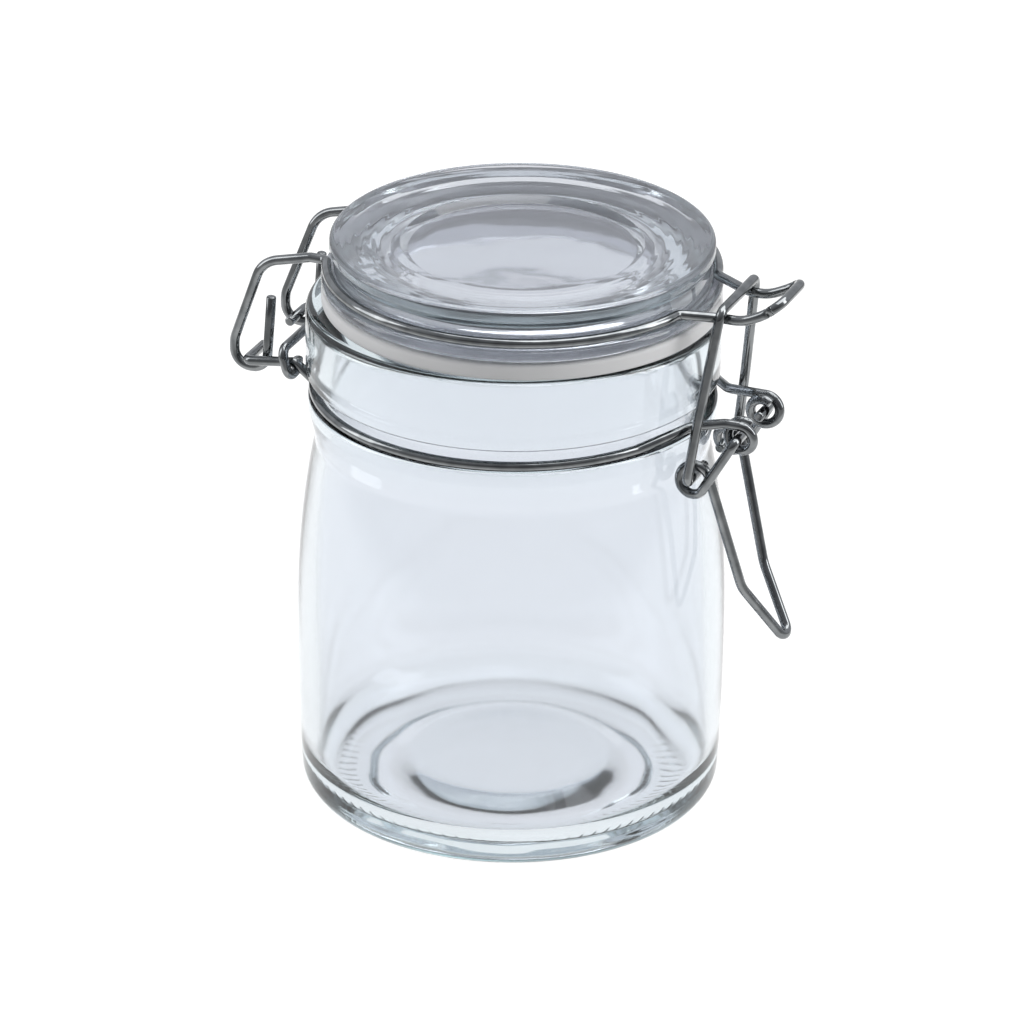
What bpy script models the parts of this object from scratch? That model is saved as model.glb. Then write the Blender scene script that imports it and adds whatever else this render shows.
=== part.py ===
# Swing-top glass jar: glass body, glass lid with rubber ring, and a latch bent from round wire.
# Metres, +Z up, closure towards +X, hinge towards -X, jar resting on Z = 0.
# Lengths below are measured from the jar's own axis; AXIS_X then centres the whole object on X = 0.

import math

import bpy
from mathutils import Matrix, Quaternion, Vector

MM = 0.001

# Fits between pieces, and between one turn of a wire and the next
GAP = 0.30 * MM
COIL_GAP = 0.45 * MM

# Wire
WIRE_R = 1.00 * MM
WIRE_PITCH = 2 * WIRE_R + COIL_GAP
LOOP_R = 2 * WIRE_R + GAP
COIL_R = 2.8 * MM
TIGHT_BEND_R = 1.50 * MM
BEND_R = 1.80 * MM
WIRE_BEVEL_SEGMENTS = 2
BEND_STEP = math.radians(20)
RING_STEP = math.radians(7.5)
COIL_STEP = math.radians(20)

# Glass body, outside
BODY_R = 43.25 * MM
BODY_FULLEST_Z = 37.0 * MM
FOOT_R = 42.35 * MM
FOOT_EASE = 2.0
HEEL_R = 5.0 * MM
HEEL_TOP_Z = 5.5 * MM
NECK_RING_R = 39.8 * MM
NECK_RING_Z = 87.75 * MM
WAIST_R = NECK_RING_R - 0.35 * MM
WAIST_Z = NECK_RING_Z - 10.45 * MM
SHOULDER_EASE = 2.2
WAIST_BEND_R = 5.0 * MM
BEAD_R = NECK_RING_R + 1.1 * MM
BEAD_BOTTOM_Z = NECK_RING_Z - 4.15 * MM
BEAD_BEND_R = 1.4 * MM
LIP_R = NECK_RING_R + 1.55 * MM
LIP_BOTTOM_Z = NECK_RING_Z + 3.55 * MM
LIP_H = 14.4 * MM
RIM_Z = LIP_BOTTOM_Z + LIP_H
LIP_BEND_R = 0.8 * MM
RIM_BEND_R = 1.3 * MM
GROOVE_BEND_R = 0.5 * MM
WALL_STATIONS = 7

# Glass body, inside and underneath
RIM_W = 5.15 * MM
MOUTH_R = LIP_R - RIM_W
WALL_T = 3.0 * MM
NECK_INNER_Z = NECK_RING_Z - 7.75 * MM
FLOOR_Z = 6.2 * MM
FLOOR_BEND_R = 8.0 * MM
INNER_STATIONS = 4
BEARING_R = 31.0 * MM
PUSH_UP_R = 27.2 * MM
PUSH_UP_Z = 2.4 * MM
PUSH_UP_CENTRE_Z = 3.2 * MM
SMALL_BEND_R = 0.6 * MM
ROUND_SEGMENTS = 44
PROFILE_TOLERANCE = 0.10 * MM
MERGE_DISTANCE = 0.01 * MM

# Rubber ring, standing on the rim
GASKET_T = 3.5 * MM
GASKET_R = LIP_R - 1.55 * MM
GASKET_BEND_R = 0.9 * MM

# Lid glass, stacked up from the rubber ring, radii from the lid's own axis
LID_SHIFT = 1.8 * MM
LID_FLANGE_Z = RIM_Z + GASKET_T + 2 * GAP
LID_FLANGE_R = GASKET_R + 0.05 * MM
LID_FLANGE_T = 2.45 * MM
LID_FLANGE_TOP_Z = LID_FLANGE_Z + LID_FLANGE_T
LID_RING_R = LID_FLANGE_R - 1.1 * MM
LID_RING_SEAT = 0.35 * MM
LID_RING_Z = LID_FLANGE_TOP_Z + LID_RING_SEAT + WIRE_R
LID_WAIST_H = 4.15 * MM
LID_TAPER_Z = LID_FLANGE_TOP_Z + LID_WAIST_H
LID_TAPER_H = 1.3 * MM
LID_EDGE_Z = LID_TAPER_Z + LID_TAPER_H
LID_EDGE_R = LID_RING_R - 0.55 * MM
LID_EDGE_T = 2.3 * MM
LID_EDGE_BEND_R = 1.0 * MM
LID_CREST_W = 1.8 * MM
TOTAL_H = LID_EDGE_Z + LID_EDGE_T
DISH_RIM_R = LID_EDGE_R - 13.3 * MM
DISH_RIM_Z = TOTAL_H - 1.9 * MM
DISH_R = DISH_RIM_R - 2.9 * MM
DISH_Z = TOTAL_H - 2.7 * MM
LID_T = 4.1 * MM
UNDERSIDE_Z = DISH_Z - LID_T
BOSS_R = MOUTH_R - 2.2 * MM
BOSS_H = 6.2 * MM
BOSS_Z = LID_FLANGE_Z - BOSS_H
BOSS_INNER_R = BOSS_R - 3.6 * MM
BOSS_DRAFT = 1.0 * MM

# Hinge: pins at the back of the neck wires, hooks of the lid wire round them
HINGE_REACH = 12.0 * MM
HINGE_X = -(NECK_RING_R + HINGE_REACH)
HINGE_Z = NECK_RING_Z + 1.6 * MM
BAR_Y = 14.7 * MM
BAR_RISE_X = -(NECK_RING_R + 1.2 * MM)
BAR_RISE_Z = NECK_RING_Z + 3.1 * MM
PIN_END_Y = 6.0 * MM
PIN_BEND_R = 1.3 * MM
HOOK_Y = BAR_Y - WIRE_PITCH
HOOK_BACK_X = HINGE_X - 3.6 * MM
HOOK_FRONT_X = HINGE_X + 3.4 * MM
HOOK_BEND_R = 3.4 * MM
ROD_END_X = HINGE_X + 4.6 * MM
ROD_RISE = 13.75 * MM
ROD_END_Z = HINGE_Z + ROD_RISE
ARM_Y = 13.5 * MM
ARM_ELBOW_Z = HINGE_Z + 3.25 * MM
ARM_TOP_X = HINGE_X + 3.2 * MM
ARM_TOP_Z = LID_RING_Z - 2.7 * MM
ARM_LEVEL_X = LID_SHIFT - LID_RING_R - 1.05 * MM
ARM_ELBOW_R = 6.0 * MM
ARM_TOP_R = 3.0 * MM

# Wire clip across the back that ties the two neck wires
TIE_X = -(LIP_R + 1.55 * MM)
TIE_FOOT_X = -(LIP_R + 0.05 * MM)
TIE_Z = HINGE_Z + 4.65 * MM
TIE_END_Z = HINGE_Z + 1.65 * MM
TIE_LOOP_R = 2.1 * MM

# Lever
LEVER_REACH = 11.3 * MM
LEVER_X = NECK_RING_R + LEVER_REACH
LEVER_Z = NECK_RING_Z + 0.35 * MM
EYE_Y = 8.0 * MM
EYE_TURNS = 1.1
LEVER_EYE_R = 2.85 * MM
NECK_LEAVE_Y = 20.0 * MM
NECK_RUN_X = NECK_RING_R + 2.3 * MM
NECK_RUN_Y = 9.9 * MM
NECK_RUN_Z = NECK_RING_Z + 2.25 * MM
EYE_RUN_X = LEVER_X - 2.8 * MM
EYE_RUN_BEND_R = 4.0 * MM
LEVER_STUB_Y = 3.0 * MM
ARM_PLANE_Y = EYE_Y + WIRE_PITCH
COIL_Y = 11.6 * MM
LINK_BACK = 8.4 * MM
LINK_DROP = 8.7 * MM
LINK_X = LEVER_X - LINK_BACK
LINK_Z = LEVER_Z - LINK_DROP
LINK_SEAT = 0.5 * MM
HANDLE_BEND_X = LEVER_X + 0.8 * MM
HANDLE_BEND_Y = 6.2 * MM
HANDLE_DROP = 32.9 * MM
HANDLE_BEND_Z = LEVER_Z - HANDLE_DROP
HANDLE_BEND_R = 7.0 * MM
HANDLE_TIP_OUT = 7.2 * MM
HANDLE_TIP_DROP = 11.6 * MM
HANDLE_TIP_X = HANDLE_BEND_X + HANDLE_TIP_OUT
HANDLE_TIP_Z = HANDLE_BEND_Z - HANDLE_TIP_DROP
HANDLE_TIP_R = 2.1 * MM

# Nose of the lid wire, pulled down by the link
NOSE_ROOT_Y = 10.6 * MM
NOSE_Y = 7.2 * MM
NOSE_LOW_X = LEVER_X - 4.3 * MM
NOSE_LOW_Z = LID_RING_Z - 0.8 * MM
NOSE_RISE_X = NOSE_LOW_X + 4.2 * MM
NOSE_UP_X = NOSE_RISE_X + 4.4 * MM
NOSE_UP_Z = NOSE_LOW_Z + 2.1 * MM
NOSE_TIP_X = NOSE_UP_X + 3.1 * MM
NOSE_TIP_Y = 6.2 * MM
NOSE_TIP_Z = NOSE_UP_Z + 2.4 * MM
NOSE_SWEEP_R = 9.0 * MM
NOSE_TIP_R = 3.4 * MM

# Link, its bar lying on the nose
BAR_X = NOSE_LOW_X + 0.6 * MM
BAR_Z = NOSE_LOW_Z + 2 * WIRE_R + GAP
LINK_BAR_Y = 9.6 * MM
LINK_FOOT_Y = 14.1 * MM
LINK_BOW_Y = 12.95 * MM
LINK_BOW_AT = 0.38
LINK_BOW_R = 40.0 * MM
LINK_STUB_Y = 4.0 * MM
LINK_BAR_BEND_R = 2.2 * MM

AXIS_MARK = 5.0 * MM

# Looks, read off the photo
GLASS_COLOUR = (0.80, 0.88, 0.87)
GLASS_ROUGHNESS = 0.03
GLASS_TRANSMISSION = 0.9
RUBBER_COLOUR = (0.52, 0.54, 0.55)
RUBBER_ROUGHNESS = 0.45
STEEL_COLOUR = (0.60, 0.60, 0.60)
STEEL_ROUGHNESS = 0.22

# The object's box reaches from the backs of the hooks to the tip of the handle
AXIS_X = -(HANDLE_TIP_X + HOOK_BACK_X) / 2


def clear_scene():
    for obj in list(bpy.data.objects):
        bpy.data.objects.remove(obj, do_unlink=True)


def material(name, colour, roughness, metallic, transmission):
    mat = bpy.data.materials.new(name)
    mat.use_nodes = True
    shader = mat.node_tree.nodes["Principled BSDF"]
    shader.inputs["Base Color"].default_value = (*colour, 1.0)
    shader.inputs["Roughness"].default_value = roughness
    shader.inputs["Metallic"].default_value = metallic
    shader.inputs["Transmission Weight"].default_value = transmission
    return mat


def point(x, y, z):
    return Vector((x + AXIS_X, y, z))


def polar(radius, angle):
    """Offset in the XZ plane, the angle counted from +X towards +Z."""
    return Vector((radius * math.cos(angle), 0.0, radius * math.sin(angle)))


def rounded(corners, step_of):
    """Points of a path through (point, bend radius) corners; step_of gives an arc's largest step."""
    points = [corners[0][0]]
    for before, (corner, radius), after in zip(corners, corners[1:], corners[2:]):
        arriving = (corner - before[0]).normalized()
        leaving = (after[0] - corner).normalized()
        turn = arriving.angle(leaving)
        if radius == 0.0 or turn == 0.0:
            points.append(corner)
            continue
        start = corner - arriving * radius * math.tan(turn / 2)
        inward = (leaving - arriving).normalized()
        centre = corner + inward * radius / math.cos(turn / 2)
        axis = arriving.cross(leaving)
        steps = max(2, math.ceil(turn / step_of(radius)))
        for i in range(steps + 1):
            points.append(centre + Quaternion(axis, turn * i / steps) @ (start - centre))
    points.append(corners[-1][0])
    return points


def ring_arc(centre_x, radius, z, rear_y, front_y):
    """Corners round the -Y side of a horizontal ring, rear to front; both end ones are bent."""
    rear = math.pi + math.asin(rear_y / radius)
    front = 2 * math.pi - math.asin(front_y / radius)
    steps = math.ceil((front - rear) / RING_STEP)
    spots = []
    for i in range(steps + 1):
        angle = rear + (front - rear) * i / steps
        bend = BEND_R if i in (0, steps) else 0.0
        spots.append((point(centre_x + radius * math.cos(angle), radius * math.sin(angle), z), bend))
    return spots


def coil(centre, radius, start, sweep, shift_y):
    """Plain points of a coil about a Y axis: start angle, signed sweep, and travel along Y."""
    steps = math.ceil(abs(sweep) / COIL_STEP)
    spots = []
    for i in range(steps + 1):
        part = i / steps
        spot = centre + polar(radius, start + sweep * part)
        spots.append((spot + Vector((0.0, shift_y * part, 0.0)), 0.0))
    return spots


def mirrored(corners):
    flip = Vector((1.0, -1.0, 1.0))
    return [(corner * flip, radius) for corner, radius in corners]


def bridged(corners):
    """A path built on the -Y side, carried across to its mirror image."""
    return corners + mirrored(corners)[::-1]


def wire(name, corners, pivot, mat):
    """One bent wire as a bevelled path, its origin on the joint axis it turns about."""
    points = rounded(corners, lambda radius: BEND_STEP)
    curve = bpy.data.curves.new(name, "CURVE")
    curve.dimensions = "3D"
    curve.fill_mode = "FULL"
    curve.bevel_depth = WIRE_R
    curve.bevel_resolution = WIRE_BEVEL_SEGMENTS
    curve.use_fill_caps = True
    curve.render_resolution_u = 0
    spline = curve.splines.new("POLY")
    spline.points.add(len(points) - 1)
    for spot, co in zip(spline.points, points):
        spot.co = (*(co - pivot), 1.0)
    spline.use_smooth = True
    curve.materials.append(mat)
    obj = bpy.data.objects.new(name, curve)
    obj.location = pivot
    bpy.context.scene.collection.objects.link(obj)
    return obj


def revolved(name, corners, closed, axis_x, mat):
    """A body of revolution from a profile at +X that runs top to bottom down its outer side."""
    upright = [(Vector((radius, 0.0, z)), bend) for radius, z, bend in corners]
    points = rounded(upright, lambda radius: 2 * math.acos(1 - PROFILE_TOLERANCE / radius))
    edges = [(i, i + 1) for i in range(len(points) - 1)]
    if closed:
        points = points[:-1]
        edges[-1] = (len(points) - 1, 0)
    mesh = bpy.data.meshes.new(name)
    mesh.from_pydata(points, edges, [])
    mesh.materials.append(mat)
    obj = bpy.data.objects.new(name, mesh)
    obj.location = point(axis_x, 0.0, 0.0)
    bpy.context.scene.collection.objects.link(obj)
    screw = obj.modifiers.new("Revolve", "SCREW")
    screw.axis = "Z"
    screw.angle = 2 * math.pi
    screw.steps = ROUND_SEGMENTS
    screw.render_steps = ROUND_SEGMENTS
    screw.use_merge_vertices = True
    screw.merge_threshold = MERGE_DISTANCE
    screw.use_smooth_shade = True
    return obj


def wall_radius(z):
    """Outside of the body: fullest at one height, eased in to the waist above and the foot below."""
    if z > BODY_FULLEST_Z:
        part = (z - BODY_FULLEST_Z) / (WAIST_Z - BODY_FULLEST_Z)
        return BODY_R - (BODY_R - WAIST_R) * part ** SHOULDER_EASE
    part = (BODY_FULLEST_Z - z) / BODY_FULLEST_Z
    return BODY_R - (BODY_R - FOOT_R) * part ** FOOT_EASE


def jar_profile():
    groove_floor_r = NECK_RING_R - WIRE_R - GAP
    groove_bottom_z = NECK_RING_Z - WIRE_R - GAP
    floor_r = wall_radius(FLOOR_Z + FLOOR_BEND_R) - WALL_T
    profile = [(0.0, FLOOR_Z, 0.0), (floor_r, FLOOR_Z, FLOOR_BEND_R)]
    low = FLOOR_Z + FLOOR_BEND_R
    for i in range(1, INNER_STATIONS):
        z = low + (WAIST_Z - low) * i / INNER_STATIONS
        profile.append((wall_radius(z) - WALL_T, z, 0.0))
    profile += [
        (MOUTH_R, NECK_INNER_Z, FLOOR_BEND_R),
        (MOUTH_R, RIM_Z, RIM_BEND_R),
        (LIP_R, RIM_Z, RIM_BEND_R),
        (LIP_R, LIP_BOTTOM_Z, LIP_BEND_R),
        (groove_floor_r, LIP_BOTTOM_Z, GROOVE_BEND_R),
        (groove_floor_r, groove_bottom_z, GROOVE_BEND_R),
        (BEAD_R, groove_bottom_z, LIP_BEND_R),
        (BEAD_R, BEAD_BOTTOM_Z, BEAD_BEND_R),
        (WAIST_R, WAIST_Z, WAIST_BEND_R),
    ]
    for i in range(1, WALL_STATIONS):
        z = WAIST_Z + (HEEL_TOP_Z - WAIST_Z) * i / WALL_STATIONS
        profile.append((wall_radius(z), z, 0.0))
    profile += [
        (wall_radius(0.0), 0.0, HEEL_R),
        (BEARING_R, 0.0, SMALL_BEND_R),
        (PUSH_UP_R, PUSH_UP_Z, SMALL_BEND_R),
        (0.0, PUSH_UP_CENTRE_Z, 0.0),
    ]
    return profile


def lid_profile():
    waist_r = LID_RING_R - WIRE_R - GAP
    return [
        (0.0, DISH_Z, 0.0),
        (DISH_R, DISH_Z, SMALL_BEND_R),
        (DISH_RIM_R, DISH_RIM_Z, SMALL_BEND_R),
        (LID_EDGE_R - LID_CREST_W - SMALL_BEND_R, TOTAL_H, SMALL_BEND_R),
        (LID_EDGE_R, TOTAL_H, LID_EDGE_BEND_R),
        (LID_EDGE_R, LID_EDGE_Z, LID_EDGE_BEND_R),
        (waist_r, LID_TAPER_Z, SMALL_BEND_R),
        (waist_r, LID_FLANGE_TOP_Z, SMALL_BEND_R),
        (LID_FLANGE_R, LID_FLANGE_TOP_Z, SMALL_BEND_R),
        (LID_FLANGE_R, LID_FLANGE_Z, SMALL_BEND_R),
        (BOSS_R, LID_FLANGE_Z, 0.0),
        (BOSS_R, BOSS_Z, SMALL_BEND_R),
        (BOSS_INNER_R, BOSS_Z, SMALL_BEND_R),
        (BOSS_INNER_R - BOSS_DRAFT, UNDERSIDE_Z, SMALL_BEND_R),
        (0.0, UNDERSIDE_Z, 0.0),
    ]


def gasket_profile():
    inner_r = BOSS_R + GAP
    top_z = LID_FLANGE_Z - GAP
    bottom_z = RIM_Z + GAP
    return [
        (inner_r, top_z, 0.0),
        (GASKET_R, top_z, GASKET_BEND_R),
        (GASKET_R, bottom_z, GASKET_BEND_R),
        (inner_r, bottom_z, 0.0),
        (inner_r, top_z, 0.0),
    ]


def lid_wire_half():
    """From the free end of the hinge hook, up the arm, round the groove and out along the nose."""
    hook_z = HINGE_Z - LOOP_R
    path = [
        (point(ROD_END_X, -HOOK_Y, ROD_END_Z), 0.0),
        (point(HOOK_FRONT_X, -HOOK_Y, hook_z), HOOK_BEND_R),
        (point(HOOK_BACK_X, -HOOK_Y, hook_z), HOOK_BEND_R),
        (point(HOOK_BACK_X, -HOOK_Y, ARM_ELBOW_Z), ARM_ELBOW_R),
        (point(ARM_TOP_X, -ARM_Y, ARM_TOP_Z), ARM_TOP_R),
        (point(ARM_LEVEL_X, -ARM_Y, LID_RING_Z), ARM_TOP_R),
    ]
    path += ring_arc(LID_SHIFT, LID_RING_R, LID_RING_Z, ARM_Y, NOSE_ROOT_Y)
    path += [
        (point(NOSE_LOW_X, -NOSE_Y, NOSE_LOW_Z), NOSE_SWEEP_R),
        (point(NOSE_RISE_X, -NOSE_Y, NOSE_LOW_Z), NOSE_SWEEP_R),
        (point(NOSE_UP_X, -NOSE_Y, NOSE_UP_Z), NOSE_SWEEP_R),
        (point(NOSE_TIP_X, -NOSE_TIP_Y, NOSE_TIP_Z), NOSE_TIP_R),
    ]
    return path


def neck_wire():
    """From the hinge pin, in along the bar, round one side of the groove and out to the front eye."""
    path = [
        (point(HINGE_X, -PIN_END_Y, HINGE_Z), 0.0),
        (point(HINGE_X, -BAR_Y, HINGE_Z), PIN_BEND_R),
        (point(BAR_RISE_X, -BAR_Y, BAR_RISE_Z), BEND_R),
    ]
    path += ring_arc(0.0, NECK_RING_R, NECK_RING_Z, BAR_Y, NECK_LEAVE_Y)
    path += [
        (point(NECK_RUN_X, -NECK_RUN_Y, NECK_RUN_Z), EYE_RUN_BEND_R),
        (point(EYE_RUN_X, -EYE_Y, LEVER_Z + LEVER_EYE_R), EYE_RUN_BEND_R),
    ]
    eye = point(LEVER_X, -EYE_Y, LEVER_Z)
    path += coil(eye, LEVER_EYE_R, math.pi / 2, -2 * math.pi * EYE_TURNS, WIRE_PITCH * EYE_TURNS)
    return path


def tie_half():
    """From a cut end, up round the bar from inside and under it, then over towards the middle."""
    bar_z = HINGE_Z + (BAR_RISE_Z - HINGE_Z) * (TIE_X - HINGE_X) / (BAR_RISE_X - HINGE_X)
    inner_y = -(BAR_Y - LOOP_R)
    outer_y = -(BAR_Y + LOOP_R)
    return [
        (point(TIE_FOOT_X, inner_y, TIE_END_Z), 0.0),
        (point(TIE_FOOT_X, inner_y, bar_z - LOOP_R), TIE_LOOP_R),
        (point(TIE_FOOT_X, outer_y, bar_z - LOOP_R), TIE_LOOP_R),
        (point(TIE_X, outer_y, TIE_Z), TIE_LOOP_R),
    ]


def tangent_angle(centre, outside, side):
    """Angle on the lever's coil at which a line from an outside point touches it, in the XZ plane."""
    run = outside - centre
    spread = math.acos(COIL_R / math.hypot(run.x, run.z))
    return math.atan2(run.z, run.x) + side * spread


def handle_apex(bend, tip):
    """Where the two sides of the handle would meet, so that their rounded end stops at the tip."""
    run = tip - bend
    to_centre = run.length - HANDLE_TIP_R
    slant = math.atan2(HANDLE_BEND_Y, to_centre)
    slant -= math.asin(HANDLE_TIP_R / math.hypot(HANDLE_BEND_Y, to_centre))
    return bend + run.normalized() * HANDLE_BEND_Y / math.tan(slant)


def lever_path():
    """Stub in one eye, arm, one turn round the link's foot, handle, and the same way back."""
    pivot = point(LEVER_X, 0.0, LEVER_Z)
    bend = point(HANDLE_BEND_X, 0.0, HANDLE_BEND_Z)
    tip = point(HANDLE_TIP_X, 0.0, HANDLE_TIP_Z)
    centre = point(LINK_X, 0.0, LINK_Z - LINK_SEAT)
    arriving = tangent_angle(centre, pivot, -1)
    leaving = tangent_angle(centre, bend, 1) - 2 * math.pi
    side = [
        (point(LEVER_X, -LEVER_STUB_Y, LEVER_Z), 0.0),
        (point(LEVER_X, -ARM_PLANE_Y, LEVER_Z), TIGHT_BEND_R),
    ]
    side += coil(centre - Vector((0.0, COIL_Y, 0.0)), COIL_R, arriving, leaving - arriving, WIRE_PITCH)
    side.append((bend - Vector((0.0, HANDLE_BEND_Y, 0.0)), HANDLE_BEND_R))
    return side + [(handle_apex(bend, tip), HANDLE_TIP_R)] + mirrored(side)[::-1]


def link_half():
    """From the stub inside the lever's coil, out and up the leg to the bar over the nose."""
    foot = point(LINK_X, -LINK_FOOT_Y, LINK_Z)
    head = point(BAR_X, -LINK_BAR_Y, BAR_Z)
    bow = foot.lerp(head, LINK_BOW_AT)
    bow.y = -LINK_BOW_Y
    return [
        (point(LINK_X, -LINK_STUB_Y, LINK_Z), 0.0),
        (foot, TIGHT_BEND_R),
        (bow, LINK_BOW_R),
        (head, LINK_BAR_BEND_R),
    ]


def axis_empty(name, spot):
    empty = bpy.data.objects.new(name, None)
    empty.empty_display_size = AXIS_MARK
    empty.location = spot
    bpy.context.scene.collection.objects.link(empty)
    return empty


def ride(child, parent):
    """Parent a piece without moving it."""
    child.parent = parent
    child.matrix_parent_inverse = Matrix.Translation(-parent.location)


clear_scene()

body_glass = material("body_glass", GLASS_COLOUR, GLASS_ROUGHNESS, 0.0, GLASS_TRANSMISSION)
lid_glass = material("lid_glass", GLASS_COLOUR, GLASS_ROUGHNESS, 0.0, GLASS_TRANSMISSION)
rubber = material("gasket_rubber", RUBBER_COLOUR, RUBBER_ROUGHNESS, 0.0, 0.0)
lid_steel = material("lid_wire_steel", STEEL_COLOUR, STEEL_ROUGHNESS, 1.0, 0.0)
near_steel = material("neck_wire_near_steel", STEEL_COLOUR, STEEL_ROUGHNESS, 1.0, 0.0)
far_steel = material("neck_wire_far_steel", STEEL_COLOUR, STEEL_ROUGHNESS, 1.0, 0.0)
tie_steel = material("rear_tie_steel", STEEL_COLOUR, STEEL_ROUGHNESS, 1.0, 0.0)
link_steel = material("link_steel", STEEL_COLOUR, STEEL_ROUGHNESS, 1.0, 0.0)
lever_steel = material("lever_steel", STEEL_COLOUR, STEEL_ROUGHNESS, 1.0, 0.0)

jar_foot = point(0.0, 0.0, 0.0)
hinge_axis = point(HINGE_X, 0.0, HINGE_Z)
lever_axis = point(LEVER_X, 0.0, LEVER_Z)
link_axis = point(LINK_X, 0.0, LINK_Z)

revolved("jar_body", jar_profile(), False, 0.0, body_glass)
wire("neck_wire_near", neck_wire(), jar_foot, near_steel)
wire("neck_wire_far", mirrored(neck_wire()), jar_foot, far_steel)
wire("rear_tie_wire", bridged(tie_half()), jar_foot, tie_steel)

lid_hinge = axis_empty("lid_hinge_axis", hinge_axis)
ride(revolved("glass_lid", lid_profile(), False, LID_SHIFT, lid_glass), lid_hinge)
ride(revolved("gasket_ring", gasket_profile(), True, LID_SHIFT, rubber), lid_hinge)
ride(wire("lid_wire", bridged(lid_wire_half()), hinge_axis, lid_steel), lid_hinge)

wire("lever_wire", lever_path(), lever_axis, lever_steel)
wire("link_wire", bridged(link_half()), link_axis, link_steel)
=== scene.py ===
# Looks of the swing-top glass jar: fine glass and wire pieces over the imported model, studio and camera.

import math

import bpy
from mathutils import Matrix, Quaternion, Vector, noise


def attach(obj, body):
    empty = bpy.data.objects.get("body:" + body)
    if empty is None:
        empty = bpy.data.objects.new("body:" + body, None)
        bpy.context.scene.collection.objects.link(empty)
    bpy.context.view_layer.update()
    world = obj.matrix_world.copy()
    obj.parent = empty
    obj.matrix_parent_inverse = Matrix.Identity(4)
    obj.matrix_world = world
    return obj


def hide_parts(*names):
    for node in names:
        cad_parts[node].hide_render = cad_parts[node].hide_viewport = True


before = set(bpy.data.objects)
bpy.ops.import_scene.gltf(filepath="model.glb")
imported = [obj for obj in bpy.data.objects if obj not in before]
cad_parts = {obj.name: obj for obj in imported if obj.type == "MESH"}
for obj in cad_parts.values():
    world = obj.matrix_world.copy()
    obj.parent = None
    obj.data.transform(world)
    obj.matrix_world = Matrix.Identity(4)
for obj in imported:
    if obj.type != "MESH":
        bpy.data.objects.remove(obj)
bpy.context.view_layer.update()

MM = 0.001
AXIS_X = -1.85 * MM

# Wire, as in the solids but with finer steps
GAP = 0.30 * MM
WIRE_R = 1.00 * MM
WIRE_PITCH = 2 * WIRE_R + 0.45 * MM
LOOP_R = 2 * WIRE_R + GAP
COIL_R = 2.8 * MM
TIGHT_BEND_R = 1.5 * MM
BEND_R = 1.8 * MM
BEND_STEP = math.radians(6)
RING_STEP = math.radians(1.5)
COIL_STEP = math.radians(6)
WIRE_SIDES_LEVEL = 6

# Cut end of a wire: share of the rounded length, and share of the wire's radius there
END_ROUND = 0.25 * MM
CUT_END = ((0.0, 0.70), (0.35, 0.88), (1.0, 1.0))

# Glass body, outside, as in the solids but with a rounder rim
BODY_R = 43.25 * MM
BODY_FULLEST_Z = 37.0 * MM
FOOT_R = 42.35 * MM
FOOT_EASE = 2.0
HEEL_R = 5.0 * MM
HEEL_TOP_Z = 5.5 * MM
NECK_RING_R = 39.8 * MM
NECK_RING_Z = 87.75 * MM
WAIST_R = NECK_RING_R - 0.35 * MM
WAIST_Z = NECK_RING_Z - 10.45 * MM
SHOULDER_EASE = 2.2
WAIST_BEND_R = 5.0 * MM
BEAD_R = NECK_RING_R + 1.1 * MM
BEAD_BOTTOM_Z = NECK_RING_Z - 4.15 * MM
BEAD_BEND_R = 1.4 * MM
LIP_R = NECK_RING_R + 1.55 * MM
LIP_BOTTOM_Z = NECK_RING_Z + 3.55 * MM
LIP_H = 14.4 * MM
RIM_Z = LIP_BOTTOM_Z + LIP_H
LIP_BEND_R = 0.8 * MM
RIM_INNER_BEND_R = 1.3 * MM
RIM_OUTER_BEND_R = 2.0 * MM
GROOVE_BEND_R = 0.5 * MM
WALL_STATIONS = 28

# Glass body, inside, its floor domed and thinner over the bearing ring than in the solid
RIM_W = 5.15 * MM
MOUTH_R = LIP_R - RIM_W
WALL_T = 3.0 * MM
NECK_INNER_Z = NECK_RING_Z - 7.75 * MM
MOUTH_STATIONS = 4
MOUTH_STATION_H = 4.0 * MM
MOUTH_FIRST_Z = NECK_INNER_Z + 8.0 * MM
FLOOR_Z = 6.2 * MM
FLOOR_EDGE_Z = 3.6 * MM
FLOOR_BEND_R = 8.0 * MM
FLOOR_STATIONS = 18
FLOOR_STATION_W = 1.6 * MM
DOME_IN_R = 18.0 * MM
DOME_OUT_R = 26.0 * MM

# Glass body, underneath, its push-up steeper at the edge than in the solid
BEARING_OUT_R = 37.2 * MM
BEARING_STATIONS = 8
BEARING_STATION_W = 0.8 * MM
PUSH_UP_EDGE_R = 28.2 * MM
PUSH_UP_R = 27.0 * MM
PUSH_UP_Z = 1.8 * MM
PUSH_UP_BEND_R = 1.2 * MM
PUSH_UP_DOME = ((22.0 * MM, 2.1 * MM), (18.0 * MM, 2.3 * MM), (9.0 * MM, 2.7 * MM))
PUSH_UP_CENTRE_Z = 2.8 * MM

# Rubber ring, standing on the rim
GASKET_T = 3.5 * MM
GASKET_R = LIP_R - 1.55 * MM
GASKET_BEND_R = 0.9 * MM

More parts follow.
